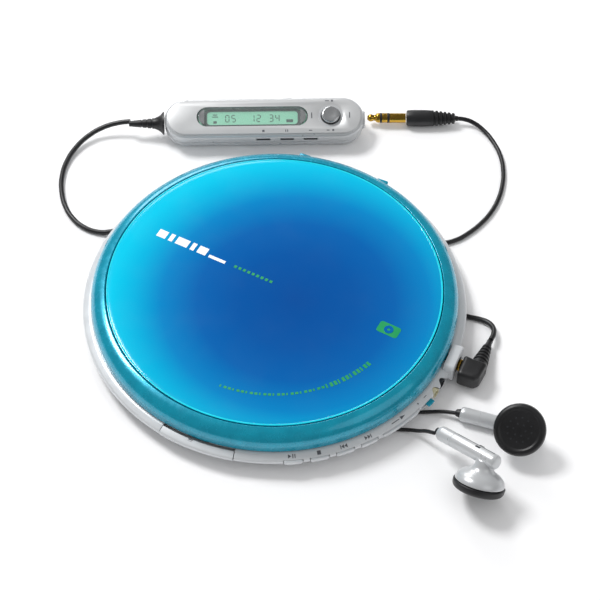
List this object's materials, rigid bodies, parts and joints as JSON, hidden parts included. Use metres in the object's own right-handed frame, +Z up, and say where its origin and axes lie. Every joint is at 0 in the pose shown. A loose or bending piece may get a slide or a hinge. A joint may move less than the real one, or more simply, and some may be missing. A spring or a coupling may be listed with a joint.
{
  "type": "portable cd player",
  "caption": "Slim round portable CD player with a blue lid, a wired display remote and earphones",
  "frame": {"origin": "centre of the base on the surface the player stands on", "axes": "+Z up through the lid, -Y towards the OPEN button at the front, +Y towards the lid hinge, +X towards the socket side"},
  "size_m": [0.1997, 0.173, 0.0181],
  "materials": {
    "white_shell": "fine satin silver-white paint",
    "blue_panel": "clear coat over deep blue, cyan towards the edge",
    "teal_metal": "metallic teal lacquer",
    "liner_grey": "satin moulded",
    "deck_dark": "fine spark-eroded texture",
    "board_green": "solder mask",
    "steel": "brushed",
    "clear_glass": "clear moulded",
    "cell_blue": "shrink sleeve",
    "foot_rubber": "matte",
    "jack_cream": "satin moulded",
    "black_plastic": "soft satin moulded",
    "silver_paint": "silver metallic paint on moulded plastic",
    "lcd_green": "reflective display glass",
    "gold": "gold plated",
    "cord_black": "smooth flexible jacket"
  },
  "bodies": {
    "player": {"base_screw_1": "steel", "base_screw_2": "steel", "battery_1": "cell_blue", "battery_2": "cell_blue", "cord_splitter": "cord_black", "dc_jack": "jack_cream", "disc_deck": "deck_dark", "earphone_cord": "cord_black", "feed_motor": "liner_grey", "foot_1": "foot_rubber", "foot_2": "foot_rubber", "foot_3": "foot_rubber", "foot_4": "foot_rubber", "guide_rod": "steel", "hinge_pin_left": "steel", "hinge_pin_right": "steel", "jack_grip": "black_plastic", "jack_pin": "gold", "left_earbud_cord": "cord_black", "left_earbud_cover": "black_plastic", "left_earbud_housing": "silver_paint", "line_out_jack": "black_plastic", "lower_case": "white_shell", "main_board": "board_green", "phones_jack": "deck_dark", "remote_board": "board_green", "remote_boot": "cord_black", "remote_bottom_case": "silver_paint", "remote_cord": "cord_black", "remote_display": "lcd_green", "remote_plug_body": "black_plastic", "remote_plug_pin": "gold", "remote_top_case": "silver_paint", "remote_window": "clear_glass", "right_earbud_cord": "cord_black", "right_earbud_cover": "black_plastic", "right_earbud_housing": "silver_paint", "spindle_motor": "steel"},
    "lid": {"lid_ring": "teal_metal", "lid_panel": "blue_panel", "lid_liner": "liner_grey"},
    "turntable": {"turntable_hub": "liner_grey"},
    "pickup": {"pickup_sled": "steel", "objective_lens": "clear_glass"},
    "screw": {"lead_screw": "steel"},
    "opener": {"open_button": "white_shell"},
    "play_key": {"play_button": "white_shell"},
    "stop_key": {"stop_button": "white_shell"},
    "previous_key": {"previous_button": "white_shell"},
    "next_key": {"next_button": "white_shell"},
    "volume_key": {"volume_rocker": "white_shell"},
    "hold_slider": {"hold_switch": "teal_metal"},
    "front_hatch": {"battery_lid_front": "white_shell"},
    "rear_hatch": {"battery_lid_rear": "white_shell"},
    "jog": {"remote_jog_knob": "silver_paint"},
    "remote_key_1": {"remote_button_1": "deck_dark"},
    "remote_key_2": {"remote_button_2": "deck_dark"},
    "remote_key_3": {"remote_button_3": "deck_dark"},
    "remote_hold": {"remote_hold_switch": "silver_paint"},
    "clip": {"remote_clip": "liner_grey"}
  },
  "joints": [
    {"name": "lid_hinge", "type": "hinge", "parent": "player", "child": "lid", "pos_m": [0, 0.0606, 0.0089], "axis": [-1, 0, 0], "range_deg": [0, 75]},
    {"name": "turntable_spin", "type": "hinge", "parent": "player", "child": "turntable", "pos_m": [0, 0, 0.0085], "axis": [0, 0, 1], "continuous": true},
    {"name": "sled_slide", "type": "slide", "parent": "player", "child": "pickup", "axis": [-1, 0, 0], "range_m": [0, 0.031]},
    {"name": "lead_screw_turn", "type": "hinge", "parent": "player", "child": "screw", "pos_m": [-0.036, -0.0092, 0.0064], "axis": [1, 0, 0], "range_deg": [-20, 3740]},
    {"name": "open_press", "type": "slide", "parent": "player", "child": "opener", "axis": [0, 1, 0], "range_m": [0, 0.001], "stiffness_N_per_m": 400},
    {"name": "play_press", "type": "slide", "parent": "player", "child": "play_key", "axis": [-0.4848, 0.8746, 0], "range_m": [0, 0.0006], "stiffness_N_per_m": 350},
    {"name": "stop_press", "type": "slide", "parent": "player", "child": "stop_key", "axis": [-0.5976, 0.8018, 0], "range_m": [0, 0.0006], "stiffness_N_per_m": 350},
    {"name": "previous_press", "type": "slide", "parent": "player", "child": "previous_key", "axis": [-0.6997, 0.7145, 0], "range_m": [0, 0.0006], "stiffness_N_per_m": 350},
    {"name": "next_press", "type": "slide", "parent": "player", "child": "next_key", "axis": [-0.7891, 0.6143, 0], "range_m": [0, 0.0006], "stiffness_N_per_m": 350},
    {"name": "volume_rock", "type": "hinge", "parent": "player", "child": "volume_key", "pos_m": [0.05715, -0.02837, 0.0056], "axis": [0, 0, 1], "range_deg": [-2, 2], "stiffness_Nm_per_rad": 0.05},
    {"name": "hold_slide", "type": "slide", "parent": "player", "child": "hold_slider", "axis": [-0.2622, -0.965, 0], "range_m": [0, 0.0017]},
    {"name": "battery_hatch_front", "type": "hinge", "parent": "player", "child": "front_hatch", "pos_m": [0, -0.0202, 0.00095], "axis": [1, 0, 0], "range_deg": [0, 85]},
    {"name": "battery_hatch_rear", "type": "hinge", "parent": "player", "child": "rear_hatch", "pos_m": [0, 0.0202, 0.00095], "axis": [-1, 0, 0], "range_deg": [0, 85]},
    {"name": "jog_turn", "type": "hinge", "parent": "player", "child": "jog", "pos_m": [-0.01436, 0.08258, 0.01047], "axis": [0.1212, -0.266, 0.9563], "continuous": true},
    {"name": "remote_key_1_press", "type": "slide", "parent": "player", "child": "remote_key_1", "axis": [-0.3966, 0.8702, 0.2924], "range_m": [0, 0.00035], "stiffness_N_per_m": 350},
    {"name": "remote_key_2_press", "type": "slide", "parent": "player", "child": "remote_key_2", "axis": [-0.3966, 0.8702, 0.2924], "range_m": [0, 0.00035], "stiffness_N_per_m": 350},
    {"name": "remote_key_3_press", "type": "slide", "parent": "player", "child": "remote_key_3", "axis": [-0.3966, 0.8702, 0.2924], "range_m": [0, 0.00035], "stiffness_N_per_m": 350},
    {"name": "remote_hold_slide", "type": "slide", "parent": "player", "child": "remote_hold", "axis": [0.91, 0.4147, 0], "range_m": [0, 0.002]},
    {"name": "clip_pivot", "type": "hinge", "parent": "player", "child": "clip", "pos_m": [-0.037, 0.07486, 0.00136], "axis": [0.91, 0.4147, 0], "range_deg": [0, 8], "stiffness_Nm_per_rad": 0.08}
  ],
  "couplings": [
    {"joint": "lead_screw_turn", "follows": "sled_slide", "rad_per_m": 2094.4}
  ]
}
